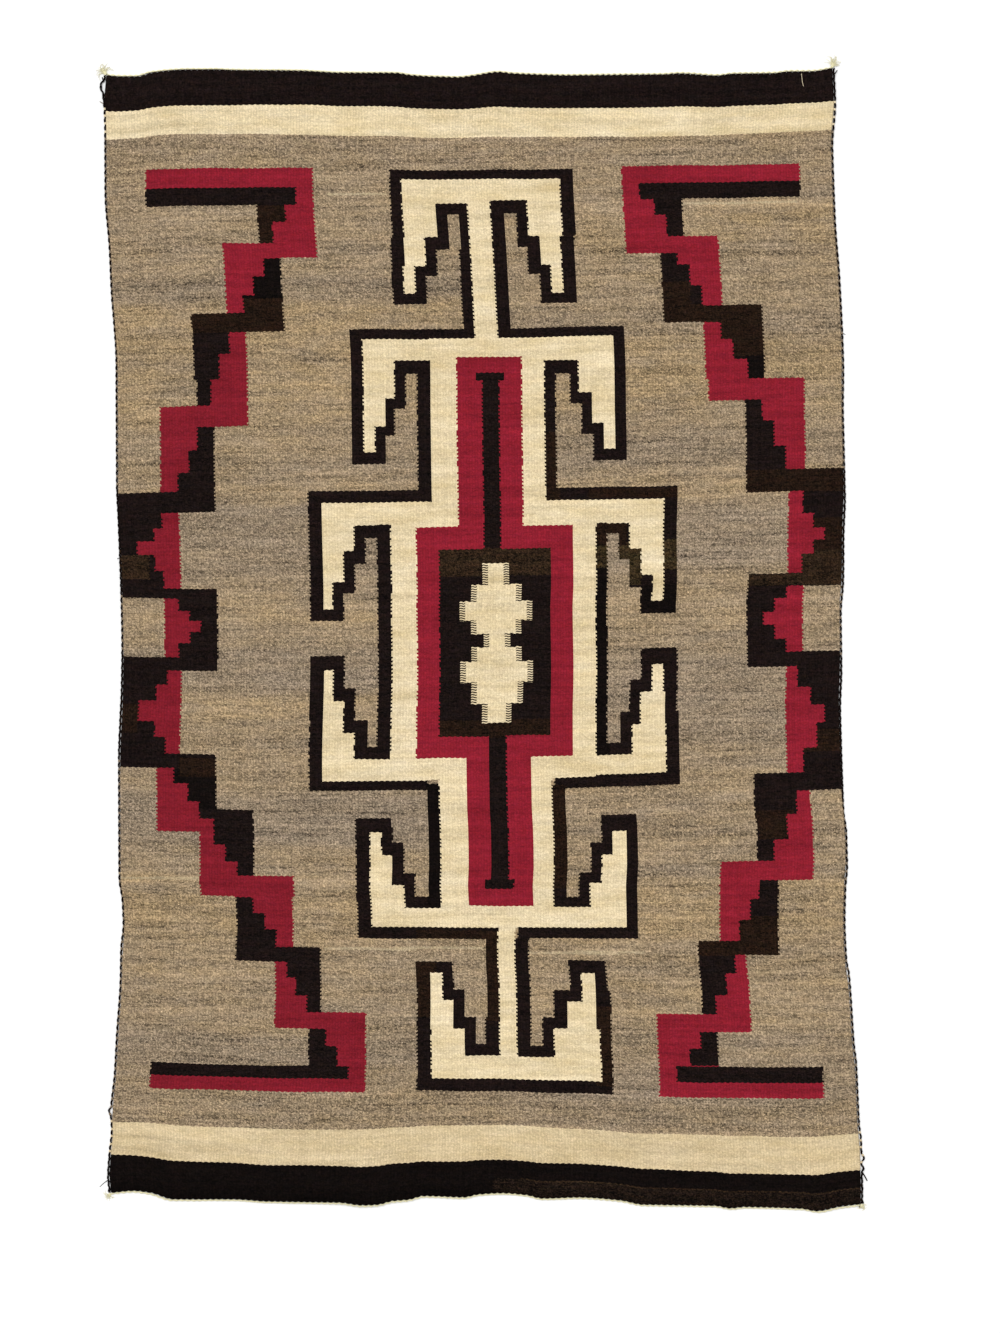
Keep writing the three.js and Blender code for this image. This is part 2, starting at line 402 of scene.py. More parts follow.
# Design: charted as a weaver would, in warps across and millimetres of woven rows.
# Each line is one block of yarn, laid over the blocks before it, on a grey ground. The yarn batches then
# change the wool of a block where another batch was spun in, and the pale passes cross the grey.
LEFT_BAND = """
    yarn left right low high
    red  14 73 1287 1311
    red  53 73 1217 1287
    dark 14 67 1265 1287
    dark 53 63 1244 1265
    dark 53 58 1217 1244
    red  40 73 1199 1218
    red  40 60 1130 1199
    dark 54 60 1176 1199
    dark 50 60 1152 1176
    dark 46 60 1130 1152
    dark 27 60 1105 1130
    red  33 46 1014 1105
    dark 27 40 1078 1105
    dark 27 36 1047 1078
    dark 28 33 1014 1047
    red  15 46 988 1014
    red  15 34 907 988
    dark 28 34 959 988
    dark 25 34 931 959
    dark 21 34 907 931
    dark 0  34 880 907
    dark 0  21 769 880
    red  15 21 782 880
    red  12 21 805 861
    red  6  21 826 844
    dark 0  34 769 782
    dark 15 34 677 769
    red  15 20 694 769
    red  15 24 713 754
    red  15 28 727 741
    dark 0  34 677 694
    dark 0  21 553 677
    red  16 21 571 677
    red  12 21 592 659
    red  6  21 612 639
    dark 0  34 553 571
    dark 13 34 501 553
    dark 28 47 414 501
    red  13 19 533 553
    red  13 24 510 533
    red  13 28 471 510
    red  28 33 454 488
    red  28 37 432 454
    red  28 41 414 432
    red  28 61 387 414
    red  40 60 322 387
    dark 40 46 365 386
    dark 40 50 344 365
    dark 40 54 322 344
    dark 40 70 303 322
    dark 54 70 240 303
    red  54 58 283 303
    red  54 61 261 283
    red  54 65 240 261
    red  54 86 219 240
    red  66 86 156 219
    dark 66 72 197 219
    dark 66 76 172 197
    dark 12 80 156 172
    red  12 86 139 156
    """
RIGHT_BAND = """
    yarn left right low high
    red  182 245 1289 1311
    red  182 215 1199 1289
    dark 188 245 1268 1289
    dark 193 203 1248 1268
    dark 197 203 1220 1248
    grey 203 245 1220 1268
    grey 215 245 1199 1220
    dark 194 200 1184 1199
    dark 194 204 1157 1184
    dark 194 208 1132 1157
    red  200 215 1184 1199
    red  204 215 1157 1184
    red  208 215 1132 1157
    dark 194 229 1110 1132
    red  208 229 1038 1110
    dark 214 229 1089 1110
    dark 218 229 1063 1089
    dark 223 229 1038 1063
    red  209 243 1010 1038
    dark 222 243 920 1011
    red  228 243 983 1011
    red  232 243 950 983
    red  236 243 920 950
    dark 222 256 892 920
    dark 237 256 790 892
    red  237 242 790 892
    red  237 246 814 864
    red  237 250 831 846
    dark 223 256 774 790
    dark 223 243 691 774
    red  237 243 691 774
    red  233 243 708 759
    red  229 243 726 742
    dark 223 256 672 691
    dark 237 256 536 672
    red  237 241 536 672
    red  237 246 536 645
    red  237 251 598 622
    red  237 248 566 598
    dark 243 256 536 566
    dark 225 256 513 536
    dark 225 245 430 513
    red  240 245 485 513
    red  236 245 455 485
    red  231 245 430 455
    red  212 245 407 430
    red  212 233 334 407
    dark 226 233 385 407
    dark 223 233 360 385
    dark 219 233 334 360
    dark 204 233 317 334
    red  204 221 243 317
    dark 204 217 294 317
    dark 204 213 267 294
    dark 204 209 243 267
    red  188 221 221 243
    red  188 209 158 221
    dark 203 209 200 221
    dark 199 209 179 200
    dark 194 245 158 178
    red  188 245 139 158
    """
TOP_FRETS = """
    yarn  left  right low  high
    dark  100   164.5 1224 1309
    cream 104   160   1224 1297
    dark  99    119.5 1208 1224
    dark  99    115   1174 1208
    dark  99    111   1138 1174
    cream 103.5 111   1187 1224
    cream 103   107   1152 1187
    dark  115.5 127.5 1224 1267
    dark  123   127   1100 1253
    grey  119.5 123.5 1208 1253
    dark  144   164   1210 1224
    dark  147   163.5 1175 1210
    dark  151   163.5 1138 1175
    cream 151.5 159   1187 1224
    cream 155   159   1151 1187
    dark  135   148   1224 1270
    dark  135   139.5 1100 1253
    grey  139.5 144   1210 1253
    cream 127   135   1093 1270
    """
UPPER_MIDDLE_FRETS = """
    yarn  left  right low  high
    dark  82.5  127   1007 1107
    dark  82.5  98    973  1007
    dark  82.5  94.5  937  973
    cream 87    127   1067 1094
    cream 87    98    1020 1067
    cream 87    94.5  985  1020
    cream 87    91    952  985
    grey  102   127   1007 1050
    dark  106   111   888  1067
    dark  135   179.5 1010 1107
    dark  164   179.5 971  1010
    dark  168   179.5 937  971
    cream 134   175.5 1065 1095
    cream 163   175.5 1024 1065
    cream 167.5 175.5 985  1024
    cream 171.5 175.5 952  985
    grey  134   160   1010 1048
    dark  151   155   888  1065
    """
UPPER_OUTER_FRETS = """
    yarn  left  right low  high
    dark  67    110   812 904
    dark  67    83    776 812
    dark  67    79    740 776
    cream 71.5  110   860 889
    cream 71.5  83    828 860
    cream 71.5  79    790 828
    cream 71.5  75    755 790
    grey  87    91    812 844
    dark  152   197.5 812 904
    dark  180.5 197.5 776 812
    dark  185   197.5 743 776
    cream 152   193   858 888
    cream 181   193   825 858
    cream 185   193   792 825
    cream 189   193   759 792
    grey  173   177   812 845
    """
LOWER_OUTER_FRETS = """
    yarn  left  right low  high
    dark  66.5 79    656 697
    dark  66.5 83    616 656
    dark  67   109   527 616
    grey  97   109   583 616
    grey  87.5 91    583 616
    cream 71.5 75    640 679
    cream 71.5 79    600 640
    cream 71.5 83    567 600
    cream 71.5 109   539 567
    dark  185  198   660 699
    dark  181  198   620 660
    dark  154  198.5 526 620
    grey  154  169   581 620
    grey  173  177.5 581 620
    cream 189  193   644 679
    cream 185  193.5 604 644
    cream 182  194   566 604
    cream 154  194   542 566
    dark  91   96    567 861
    dark  169  173   566 859
    """
LOWER_MIDDLE_FRETS = """
    yarn  left  right low  high
    dark  83    96    460 491
    dark  83    100   419 460
    dark  83    134   334 419
    grey  112   134   389 419
    grey  104   108.5 389 419
    cream 88    92    443 473
    cream 88    95.5  403 443
    cream 88    100   374 403
    cream 88    140   349 374
    dark  170   182.5 457 491
    dark  166   182.5 419 457
    dark  140   182.5 336 419
    grey  140   154   389 419
    grey  157.5 162   389 419
    cream 173.5 178.5 441 471
    cream 170   178.5 406 441
    cream 166   178.5 376 406
    cream 139   178.5 350 376
    dark  108.5 113   375 535
    dark  153   157.5 376 531
    """
BOTTOM_FRETS = """
    yarn  left  right low  high
    dark  103.5 117   270 305
    dark  104   120.5 235 270
    dark  104   133   140 235
    cream 108.5 113   256 291
    cream 108.5 116.5 220 256
    cream 109   120.5 185 220
    cream 109   133   156 185
    dark  158   171   271 309
    dark  152   172   236 271
    dark  133   172   140 236
    cream 162   166.5 256 293
    cream 156.5 166.5 222 256
    cream 152   168   185 222
    cream 133   168   156 185
    grey  124.5 128   200 235
    grey  143.5 148   200 236
    dark  128.5 144   185 336
    cream 133   139   185 350
    """
CENTRE = """
    yarn  left  right low  high
    cream 110.5 151   888  1095
    cream 96    169   540  888
    cream 113   153   374  540
    red   120   143   857  1071
    red   105   160.5 567  857
    red   122.5 145.5 377  567
    dark  113   152.5 594  828
    dark  126.5 136.5 1041 1051
    dark  129   135   828  1041
    dark  130.5 137   411  594
    dark  128.5 139   399  411
    """
CROSSES = """
    left  right low high
    130   135.5 783 810
    126   140   762 783
    122   144   739 762
    126   140   722 739
    130.5 136   704 722
    126   140   686 704
    122   144   661 686
    126   140.5 635 661
    130   136.5 611 635
    """
END_BANDS = """
    yarn  left right low high
    black 0 256 0    51
    ecru  0 256 51   93
    cream 0 256 1353 1391
    dark  0 256 1391 1432
    """
YARN_BATCHES = """
    yarn  left right low high
    brown 113 153 794 829
    umber 113 153 592 614
    brown 0   10  794 826
    umber 0   6   597 634
    umber 53  63  1217 1264
    black 46  60  1148 1199
    umber 27  60  1105 1148
    umber 21  34  542 566
    black 13  34  501 552
    umber 103 111 234 305
    umber 166 173 150 250
    umber 128 133 230 333
    umber 104 134 331 345
    umber 193 204 1110 1162
    umber 204 229 1093 1133
    umber 213 229 1067 1093
    black 222 229 1037 1067
    umber 222 256 891 920
    umber 242 256 818 858
    brown 240 256 787 827
    brown 223 256 775 789
    umber 237 256 561 589
    umber 225 239 467 490
    umber 226 236 456 467
    umber 219 233 320 364
    umber 204 233 316 336
    umber 166 198 890 902
    olive 193 198 798 836
    umber 169 180 829 861
    olive 169 174 802 829
    olive 177 185 779 833
    black 185 198 742 779
    black 169 174 566 802
    umber 153 158 400 531
    umber 151 156 888 975
    black 108 113 375 535
    wine  0   92  139 1100
    smoky 131 256 0   24
    brown 140 256 24  26
    """
PALE_PASSES = """
    yarn left right low high
    pale 71  104 319 322
    pale 96  128 321 324
    pale 144 176 316 319
    pale 160 185 318 321
    pale 203 244 1260 1263
    pale 0   28  407 410
    pale 12  40  409 411
    pale 78  99  1277 1280
    """
COMB_REACH = 2
COMB_OVERLAP = 1.2

YARNS = (
    "grey", "red", "wine", "dark", "cream", "ecru", "black", "umber", "brown", "olive", "smoky", "pale",
    "cord",
)
HALVES = 2 * WARPS
FLAT_PANEL = 25.0
BATCH_GROUNDS = {"wine": ("red",), "pale": ("grey",)}
DARK_GROUNDS = ("dark", "black")


def blocks_of(text):
    return [
        (row.get("yarn"), row["left"], row["right"], row["low"], row["high"])
        for row in read_table(text)
    ]


motifs = [
    LEFT_BAND, RIGHT_BAND, TOP_FRETS, UPPER_MIDDLE_FRETS, UPPER_OUTER_FRETS,
    LOWER_OUTER_FRETS, LOWER_MIDDLE_FRETS, BOTTOM_FRETS, CENTRE, END_BANDS,
]
blocks = [block for motif in motifs for block in blocks_of(motif)]
cross_steps = blocks_of(CROSSES)
for _, left, right, low, high in cross_steps:
    blocks.append(("comb", left - COMB_REACH, left, low - COMB_OVERLAP, high + COMB_OVERLAP))
    blocks.append(("comb", right, right + COMB_REACH, low - COMB_OVERLAP, high + COMB_OVERLAP))
blocks += [("cream", *step[1:]) for step in cross_steps]
batches = blocks_of(YARN_BATCHES) + blocks_of(PALE_PASSES)

lines = {0.0, WOVEN_LENGTH}
lines.update(edge for block in blocks + batches for edge in block[3:])
panel_count = round(WOVEN_LENGTH / FLAT_PANEL)
panel_lines = {round(i * WOVEN_LENGTH / panel_count, 1) for i in range(1, panel_count)}
ROW_LINES = sorted(lines | panel_lines)
line_number = {line: i for i, line in enumerate(ROW_LINES)}


def cells_under(block):
    """Each cell that a block covers, as the band between two row lines and the half warp."""
    _, left, right, low, high = block
    for band in range(line_number[low], line_number[high]):
        for half in range(round(2 * left), round(2 * right)):
            yield band, half


def plain(yarn):
    return (YARNS.index(yarn), YARNS.index(yarn), 0)


# A cell is one half of a warp between two row lines: the yarns of its two kinds of pick, and whether they
# take turns evenly, as in a comb, or by chance, as where two yarns meet round one warp.
cells = [[plain("grey")] * HALVES for _ in ROW_LINES[:-1]]
comb = (YARNS.index("dark"), YARNS.index("cream"), 1)
for block in blocks:
    for band, half in cells_under(block):
        cells[band][half] = comb if block[0] == "comb" else plain(block[0])
for block in batches:
    for band, half in cells_under(block):
        odd, even, _ = cells[band][half]
        if odd == even and YARNS[odd] in BATCH_GROUNDS.get(block[0], DARK_GROUNDS):
            cells[band][half] = plain(block[0])
for band in cells:
    for half in range(1, HALVES - 1, 2):
        here, beyond = band[half], band[half + 1]
        if here != beyond and here[0] == here[1] and beyond[0] == beyond[1]:
            band[half] = (here[0], beyond[0], 0)


def yarn_at(warp, row):
    """The name of the yarn at a warp and row."""
    band = max(i for i, line in enumerate(ROW_LINES[:-1]) if line <= max(row, 0))
    return YARNS[cells[band][min(max(int(2 * warp), 0), HALVES - 1)][0]]


# Wool: one shader for the cloth, which sees each warp and each pick from the cloth's own weave coordinates.
# Each yarn runs between two shades, and has its own flecks, pepper, streaks and ribs, and its own share of
# painted shade in the hollows between its beads. The grey ground has its own table of batches, for each
# side of the cloth, with a row, a thickness, a tone and a warmth.
YARN_SHADES = read_table("""
    yarn   red green blue  then_red then_green then_blue
    grey   149 132   112   160      137        104
    red    150  34    51   130      28         40
    wine   137  32    46   122      26         37
    dark    22  14    13    28      19         17
    cream  244 227   193   213      190        141
    ecru   226 206   170   201      178        133
    black   13   8     7    18      12         10
    umber   37  24    15    31      19         13
    brown   54  39    26    36      25         16
    olive   60  48    29    44      34         21
    smoky   36  26    19    25      17         13
    pale   186 168   138   176      156        122
    cord   248 241   200   238      228        172
    """)
# The last column is each yarn's share of the painted shade in the hollows between its beads.
YARN_GRAIN = read_table("""
    yarn   bead pepper pass band ribs flecks tint depth
    grey   0.24 0.52   0.40 0.30 0.06 0.8    0.03 1.0
    red    0.12 0.16   0.16 0.20 0.06 0.1    0.10 0.8
    wine   0.12 0.16   0.16 0.20 0.06 0.1    0.10 0.8
    dark   0.40 0.50   0.40 0.25 0.15 0.5    0.20 1.0
    cream  0.09 0.15   0.11 0.16 0.05 0      0.02 0.7
    ecru   0.09 0.15   0.11 0.16 0.05 0      0.02 0.7
    black  0.40 0.50   0.40 0.20 0.15 0.8    0.20 1.0
    umber  0.40 0.60   0.40 0.20 0.15 0.8    0.20 1.0
    brown  0.45 0.75   0.40 0.20 0.15 1      0.15 1.0
    olive  0.45 0.75   0.35 0.20 0.10 1      0.20 1.0
    smoky  0.60 1.00   0.60 0.30 0.20 1      0.20 1.0
    pale   0.15 0.30   0.10 0.10 0.05 0      0.05 0.8
    cord   0.05 0.08   0.05 0.05 0    0      0    0.8
    """)
GREY_BATCHES = read_table("""
    side  row  thick tone  warmth
    left  120  40    -0.07 0
    left  190  30    -0.07 -0.5
    left  290  10    0.06  0.2
    left  360  50    0     0.5
    left  410  10    0.12  0.3
    left  490  50    -0.07 -0.7
    left  590  10    -0.09 -0.2
    left  630  20    0.06  0.4
    left  680  40    -0.04 -0.6
    left  750  20    0.07  0.3
    left  850  80    -0.05 -0.6
    left  900  20    0.05  0.5
    left  940  10    -0.08 0
    left  1030 60    0.02  0.5
    left  1110 50    0     0.6
    left  1160 20    -0.1  -0.3
    left  1330 20    -0.05 0
    right 120  30    -0.07 0
    right 160  40    -0.03 -0.5
    right 210  10    -0.09 -0.2
    right 260  40    0.04  0.2
    right 310  10    -0.07 0.2
    right 370  60    0     0.6
    right 420  10    -0.08 -0.4
    right 470  10    -0.08 -0.3
    right 530  20    0.03  0.2
    right 580  20    -0.06 -0.2
    right 640  80    -0.03 -0.6
    right 750  40    0.04  0.1
    right 840  60    -0.02 -0.6
    right 900  20    0.04  0.4
    right 950  30    -0.07 -0.4
    right 1050 60    0     0.7
    right 1110 20    -0.07 -0.2
    right 1200 10    -0.08 0
    right 1230 30    0.02  0.5
    right 1260 10    0.14  0.2
    right 1330 20    -0.03 -0.1
    """)
CLOUDS = read_table("""
    name    width height layer detail
    zones   260   38     0     3
    patches 55    16     5     3
    waver   60    30     7     1
    passes  75    2.7    9     2
    bands   190   9      2     2
    reds    24    7      3     3
    blues   9     4      8     3
    """)
GREY_PARTS = 8
LEAST_FADE = 2.0
FADE_SHARE = 0.35
RAMP_WARMTH = 0.4
MIDDLE_JOIN = 9
BATCH_WAVER = 4.0
BATCH_PATCHES = 0.6
BATCH_WARMTH = 0.55
BATCH_TONE = 1.4
ZONE_TURN = 0.3
PATCH_TURN = 0.35
TOOTH = 1.5
BITE = 2.4
OUT_OF_STEP = 0.37
ODD_ONES_OUT = 0.15
PEPPER = 1.35
PEPPER_MEAN = 0.667
RIB_LINE_STEP = 0.83
RIB_LINE_LENGTH = 160.0
FLECK_DICE = 400.0
FLECK_SHARE = 0.012
DARKEST = 0.12
CREST_SHARPNESS = 0.6
ROLL_SHARPNESS = 0.5
# Painted light and shade on each bead: how much lighter its crest is painted, and how much darker its
# hollows.
HOLLOW_SHADE_GAIN = 0.36
HOLLOW_SHADE_DEPTH = 0.26
BLUE_GAIN = 1.6
LIGHT = 1.1


def linear(byte):
    """A colour channel as a photograph stores it, 0 to 255, in the linear scale that a shader wants."""
    value = byte / 255
    return value / 12.92 if value <= 0.04045 else ((value + 0.055) / 1.055) ** 2.4


def shades(turn=""):
    """Each yarn's own colour: the colour in the photograph, less what the strong light adds."""
    return [
        tuple(linear(row[turn + channel]) / LIGHT for channel in ("red", "green", "blue")) + (1.0,)
        for row in YARN_SHADES
    ]


class Wire:
    """A value that runs between a material's nodes, and can be added and multiplied like a number."""

    def __init__(self, socket):
        self.socket = socket
        self.tree = socket.id_data

    def __add__(self, other):
        return maths("ADD", self, other)

    def __sub__(self, other):
        return maths("SUBTRACT", self, other)

    def __mul__(self, other):
        return maths("MULTIPLY", self, other)

    def __truediv__(self, other):
        return maths("DIVIDE", self, other)

    def __mod__(self, other):
        return maths("MODULO", self, other)

    def __pow__(self, other):
        return maths("POWER", self, other)

    def __lt__(self, other):
        return maths("LESS_THAN", self, other)

    def __gt__(self, other):
        return maths("GREATER_THAN", self, other)


def add_node(tree, kind, inputs=None, **settings):
    """A new node with its settings, its inputs set or plugged in."""
    node = tree.nodes.new(kind)
    for name, value in settings.items():
        setattr(node, name, value)
    for name, value in (inputs or {}).items():
        if isinstance(value, Wire):
            tree.links.new(value.socket, node.inputs[name])
        else:
            node.inputs[name].default_value = value
    return node


def wire(tree, kind, inputs=None, output=0, **settings):
    """What a new node gives out."""
    return Wire(add_node(tree, kind, inputs, **settings).outputs[output])


def maths(operation, first, *others):
    """The result of a maths node."""
    return wire(first.tree, "ShaderNodeMath", dict(enumerate((first, *others))), operation=operation)


def blend(share, first, second):
    """The first value where share is 0, the second where it is 1."""
    return (second - first) * share + first


def vector(x, y, z=0.0):
    return wire(x.tree, "ShaderNodeCombineXYZ", {"X": x, "Y": y, "Z": z})


def uv_axes(tree, name):
    """The two coordinates of a UV map."""
    spread = wire(tree, "ShaderNodeUVMap", uv_map=name)
    axes = add_node(tree, "ShaderNodeSeparateXYZ", {"Vector": spread})
    return Wire(axes.outputs["X"]), Wire(axes.outputs["Y"])


def attribute(tree, name):
    return wire(tree, "ShaderNodeAttribute", output="Fac", attribute_name=name)


def cloudy(place, detail):
    """Soft noise, from about -1 to 1."""
    look = {"Vector": place, "Scale": 1.0, "Detail": detail, "Roughness": 0.5}
    return (wire(place.tree, "ShaderNodeTexNoise", look, output="Fac") - 0.5) * 3.0


def dice_roll(x, y):
    """A different number from -1 to 1 for every whole x and y."""
    place = vector(x, y, 3.0)
    return (wire(x.tree, "ShaderNodeTexWhiteNoise", {"Vector": place}, output="Value") - 0.5) * 2.0


def colour_ramp(share, stops, interpolation):
    """The colour at a share of the way along a ramp through (place, colour) stops."""
    node = add_node(share.tree, "ShaderNodeValToRGB", {"Fac": share})
    ramp = node.color_ramp
    ramp.interpolation = interpolation
    for i, (place, colour) in enumerate(stops):
        stop = ramp.elements[i] if i < 2 else ramp.elements.new(place)
        stop.position = place
        stop.color = colour
    return Wire(node.outputs["Color"])


def pick_from(index, colours):
    """The flat colour that has the yarn's number."""
    stops = [(i / len(colours), colour) for i, colour in enumerate(colours)]
    return colour_ramp((index + 0.5) / len(colours), stops, "CONSTANT")


def split(colour):
    """The red, the green and the blue of a colour."""
    node = add_node(colour.tree, "ShaderNodeSeparateColor", {"Color": colour})
    return [Wire(node.outputs[channel]) for channel in ("Red", "Green", "Blue")]


def grain_of(yarn, *names):
    """Three columns of the table of grains, for the yarn at a place."""
    return split(pick_from(yarn, [tuple(look[name] for name in names) + (1.0,) for look in YARN_GRAIN]))


def mix_colours(factor, first, second, blend_type="MIX"):
    inputs = {"Factor": factor, "A": first, "B": second}
    return wire(
        first.tree, "ShaderNodeMix", inputs, output="Result", data_type="RGBA", blend_type=blend_type
    )


def new_material(name):
    material = bpy.data.materials.new(name)
    material.use_nodes = True
    material.node_tree.nodes.clear()
    return material, material.node_tree


def finish_wool(colour, height, relief):
    """The wool's surface: matt, with the height given as bumps of relief metres."""
    bump = wire(
        colour.tree, "ShaderNodeBump", {"Strength": 0.6, "Distance": relief, "Height": height}
    )
    look = {"Base Color": colour, "Roughness": 0.92, "Specular IOR Level": 0.05, "Normal": bump}
    wool = wire(colour.tree, "ShaderNodeBsdfPrincipled", look)
    add_node(colour.tree, "ShaderNodeOutputMaterial", {"Surface": wool})


def fade_of(batch):
    return max(LEAST_FADE, FADE_SHARE * batch["thick"])


def batch_value(side, column, row):
    """The sum, at one row, of one side's batches: each is even in the middle and fades at its edges."""
    total = 0.0
    for batch in GREY_BATCHES:
        if batch["side"] == side:
            beyond = abs(row - batch["row"]) - batch["thick"] / 2
            total += batch[column] * min(1.0, max(0.0, 1 - beyond / fade_of(batch)))
    return total


def batch_ramp(row, side, low, high):
    """The tone and the warmth of one side's batches between two rows, each about a middle of 0.5."""
    places = {low, high}
    for batch in GREY_BATCHES:
        for reach in (batch["thick"] / 2, batch["thick"] / 2 + fade_of(batch)):
            places.update(
                place for place in (batch["row"] - reach, batch["row"] + reach)
                if batch["side"] == side and low < place < high
            )
    stops = []
    for place in sorted(places):
        tone = 0.5 + batch_value(side, "tone", place)
        warmth = 0.5 + RAMP_WARMTH * batch_value(side, "warmth", place)
        stops.append(((place - low) / (high - low), (tone, warmth, 0.0, 1.0)))
    return split(colour_ramp((row - low) / (high - low), stops, "LINEAR"))[:2]


def grey_batches(warp, row):
    """How much paler and how much warmer the grey is at a place, from the batches of the two sides."""
    part = WOVEN_LENGTH / GREY_PARTS
    part_number = maths("FLOOR", row / part)
    sums = {"left": [0.0, 0.0], "right": [0.0, 0.0]}
    for side, values in sums.items():
        for i in range(GREY_PARTS):
            here = maths("COMPARE", part_number, float(i), 0.5)
            for k, channel in enumerate(batch_ramp(row, side, i * part, (i + 1) * part)):
                values[k] = here * (channel - 0.5) + values[k]
    middle = {"Value": warp, "From Min": WARPS / 2 - MIDDLE_JOIN, "From Max": WARPS / 2 + MIDDLE_JOIN}
    rightward = wire(warp.tree, "ShaderNodeMapRange", middle)
    tone, warmth = (blend(rightward, sums["left"][k], sums["right"][k]) for k in range(2))
    return tone, warmth / RAMP_WARMTH


def woven_wool():
    material, tree = new_material("woven_wool")
    across_share, up_share = uv_axes(tree, "weave")
    warp = across_share * WARPS
    row = up_share * WOVEN_LENGTH
    across_mm = warp * WARP_PITCH
    column = maths("FLOOR", warp)
    pick = row / PICK + (column % 2.0) * 0.5
    bead = maths("FLOOR", pick)

    def clouds(name):
        """Soft noise in patches of the width and height that the table of clouds gives it."""
        size = next(line for line in CLOUDS if line["name"] == name)
        place = vector(across_mm / size["width"], row / size["height"], size["layer"])
        return cloudy(place, size["detail"])

    # Which of a cell's two yarns shows: in a comb they take turns pick by pick, and where two yarns meet
    # round one warp they bite into each other more coarsely, out of step with the next warp, and some
    # bites are missed.
    in_turn = maths("FLOOR", row / TOOTH) % 2.0
    bite = maths("FLOOR", column * OUT_OF_STEP + row / BITE)
    missed = dice_roll(column, bite) < 2.0 * ODD_ONES_OUT - 1.0
    with_misses = maths("ABSOLUTE", bite % 2.0 - missed)
    second_shows = blend(attribute(tree, "in_turn"), with_misses, in_turn)
    yarn = blend(second_shows, attribute(tree, "yarn_odd"), attribute(tree, "yarn_even"))

    # The shade wanders within a batch, and the grey ground was spun from many batches.
    patches = clouds("patches")
    strength = (yarn < 0.5) * (patches * BATCH_PATCHES + 1.0)
    paler, warmer = grey_batches(warp, clouds("waver") * BATCH_WAVER + row)
    turn = clouds("zones") * ZONE_TURN + patches * PATCH_TURN + 0.5 + warmer * (strength * BATCH_WARMTH)
    shade = wire(tree, "ShaderNodeClamp", {"Value": turn})
    colour = mix_colours(shade, pick_from(yarn, shades()), pick_from(yarn, shades("then_")))

    # The grain: beads and pepper of mixed fleece, single passes, bands, ribs and flecks.
    bead_amount, pepper_amount, pass_amount = grain_of(yarn, "bead", "pepper", "pass")
    band_amount, rib_amount, fleck_amount = grain_of(yarn, "band", "ribs", "flecks")
    pepper_column = maths("FLOOR", across_mm / PEPPER + bead * OUT_OF_STEP)
    speck = dice_roll(pepper_column, maths("FLOOR", row / PEPPER))
    fleck = dice_roll(pepper_column + FLECK_DICE, bead) > 1.0 - 2.0 * FLECK_SHARE
    tone = paler * (strength * BATCH_TONE) + 1.0
    for amount, change in (
        (bead_amount, dice_roll(column, bead)),
        (pepper_amount, (speck + 1.0) * (speck * 0.5 + 0.5) - PEPPER_MEAN),
        (pass_amount, clouds("passes")),
        (band_amount, clouds("bands")),
        (rib_amount, cloudy(vector(column * RIB_LINE_STEP, row / RIB_LINE_LENGTH), 1.0)),
        (fleck_amount, fleck),
    ):
        tone = tone + amount * change
    tone = maths("MAXIMUM", tone, DARKEST)

    # Each bead of weft is round: its height makes the bumps, and the same height is painted into the colour
    # as light and shade, crests a little lighter and the hollows between the beads darker, more for some
    # yarns.
    tint, depth, _ = grain_of(yarn, "tint", "depth", "depth")
    crest = maths("SINE", maths("FRACT", warp) * math.pi)
    roll = maths("SINE", maths("FRACT", pick) * math.pi)
    height = crest**CREST_SHARPNESS * roll**ROLL_SHARPNESS
    tone = tone * ((height * HOLLOW_SHADE_GAIN - HOLLOW_SHADE_DEPTH) * depth + 1.0)

    # Small patches of the fleece are a little redder, and others a little bluer.
    redder = tint * clouds("reds") + 1.0
    bluer = tint * clouds("blues") * BLUE_GAIN + 1.0
    toned = mix_colours(1.0, colour, vector(tone * redder, tone, tone * bluer), "MULTIPLY")
    finish_wool(toned, height, 0.5 * MM)
    return material


# Cloth: one closed sheet of tapestry, ribbed by its warps on both faces, with no seam anywhere.
# It is woven in one piece, so all the colours are in the sheet itself; wefts turn back at its sides.
RIB_DEPTH = 0.35
SCALLOP = 1.3
SCALLOP_MIDDLE = 0.45
WARP_TURN = 2
ZIGZAG = 0.5
FLARE = 2.4


def end_scallop(half, row):
    """The ends stand out a little at every second warp, where it turns back, and are drawn in between."""
    if 0 < row < WOVEN_LENGTH:
        return 0.0
    turn = abs(math.sin(math.pi * half / 2 / WARP_TURN))
    return SCALLOP * (turn - SCALLOP_MIDDLE) * (-1 if row == 0 else 1)


def zigzag(half, row):
    """Where one yarn follows another, its first pick dips over one warp and rises over the next."""
    if half % 2 == 0 or not 0 < row < WOVEN_LENGTH:
        return 0.0
    return ZIGZAG * (-1) ** (half // 2)


def step_flares():
    """Where a wide step of the crosses meets a narrow one, its pale wefts flare towards the comb."""
    flares = []
    for upper, lower in zip(cross_steps, cross_steps[1:]):
        wide, narrow, lift = (lower, upper, FLARE) if lower[1] < upper[1] else (upper, lower, -FLARE)
        for side, outward in ((1, -COMB_REACH), (2, COMB_REACH)):
            flares.append((upper[3], narrow[side] + outward, wide[side] + outward, lift))
    return flares


FLARES = step_flares()


def flare_at(warp, row):
    for at_row, start, stop, lift in FLARES:
        share = (warp - start) / (stop - start)
        if row == at_row and 0 < share <= 1:
            return lift * share**1.5
    return 0.0


